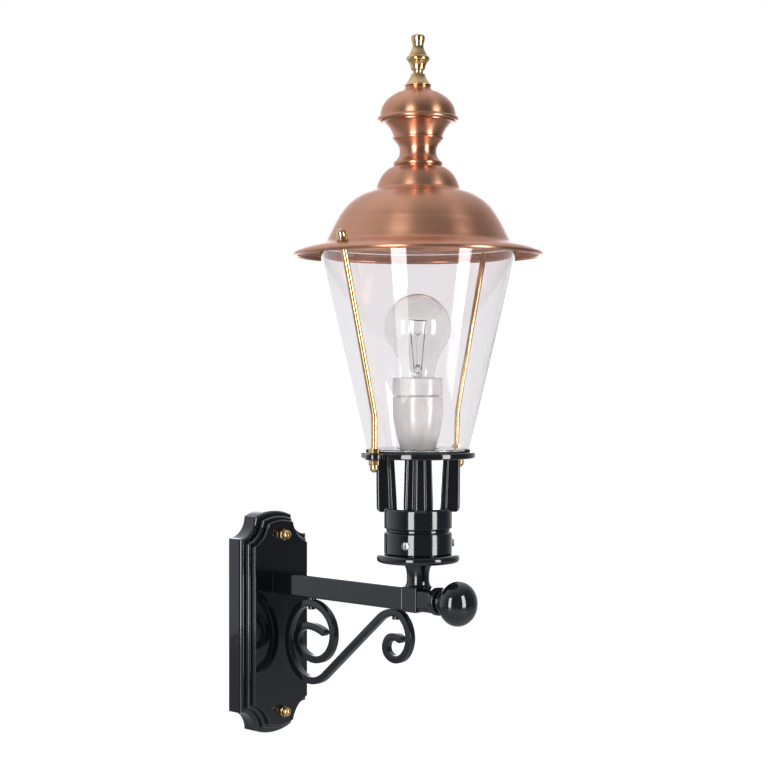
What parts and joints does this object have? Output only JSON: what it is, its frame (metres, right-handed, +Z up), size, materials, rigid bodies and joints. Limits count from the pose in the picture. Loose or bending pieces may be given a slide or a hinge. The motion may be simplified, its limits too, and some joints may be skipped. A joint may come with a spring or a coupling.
{
  "type": "outdoor wall light",
  "caption": "Outdoor wall light: glass lantern with a spun copper hood and stacked finial on a slotted cage, carried by a square arm with a scroll brace and a moulded wall plate.",
  "frame": {"origin": "centre of the wall plate's back, on the wall's surface", "axes": "+Z up, +Y into the wall, so the light stands out along -Y; X = 0 is the middle plane of the bracket"},
  "size_m": [0.225, 0.3185, 0.6564],
  "materials": {
    "black_gloss": "gloss",
    "copper_spun": "satin",
    "brass_polished": "polished",
    "steel_zinc": "satin",
    "screw_chrome": "polished",
    "glass_clear": "gloss",
    "porcelain_white": "gloss",
    "rubber_black": "matte",
    "sheath_grey": "matte",
    "terminal_white": "matte",
    "wire_tungsten": "matte"
  },
  "bodies": {
    "bracket": {"wall_plate": "black_gloss", "mounting_strap": "steel_zinc", "plate_studs": "steel_zinc", "plate_cap_nuts": "brass_polished", "arm": "black_gloss", "arm_end_block": "steel_zinc", "arm_tube_nipple": "steel_zinc", "arm_washer": "steel_zinc", "arm_nut": "steel_zinc", "terminal_block": "terminal_white", "terminal_screws": "brass_polished", "terminal_fixing_screw": "steel_zinc", "earth_screw": "brass_polished", "scroll": "black_gloss", "scroll_spacers": "black_gloss", "scroll_screws": "steel_zinc", "tee": "black_gloss", "tee_screw": "steel_zinc", "arm_finial": "black_gloss", "wiring": "sheath_grey"},
    "lantern": {"cage": "black_gloss", "collar_screws": "screw_chrome", "holder_nipple": "brass_polished", "holder_washer": "steel_zinc", "holder_nut": "brass_polished", "glass_foot_seal": "rubber_black", "glass_top_seal": "rubber_black", "glass_shade": "glass_clear", "rod_left": "brass_polished", "rod_right": "brass_polished", "rod_ring_nuts": "brass_polished", "rod_foot_nuts": "brass_polished", "rod_top_nuts": "brass_polished", "holder_body": "porcelain_white", "holder_ring": "porcelain_white", "holder_shell": "brass_polished", "holder_contact": "brass_polished", "holder_terminals": "brass_polished", "bulb_cap": "steel_zinc", "bulb_insulator": "rubber_black", "bulb_contact": "steel_zinc", "bulb_glass": "glass_clear", "bulb_stem": "glass_clear", "bulb_leads": "wire_tungsten", "bulb_filament": "wire_tungsten", "hood": "copper_spun", "crown_washer": "steel_zinc", "crown_nut": "steel_zinc", "crown_rod": "steel_zinc", "crown_neck": "copper_spun", "crown_cap": "copper_spun", "finial": "brass_polished"}
  },
  "joints": [
    {"name": "lantern_swivel", "type": "hinge", "parent": "bracket", "child": "lantern", "pos_m": [0, -0.206, 0.0813], "axis": [0, 0, 1], "range_deg": [-170, 170]}
  ]
}
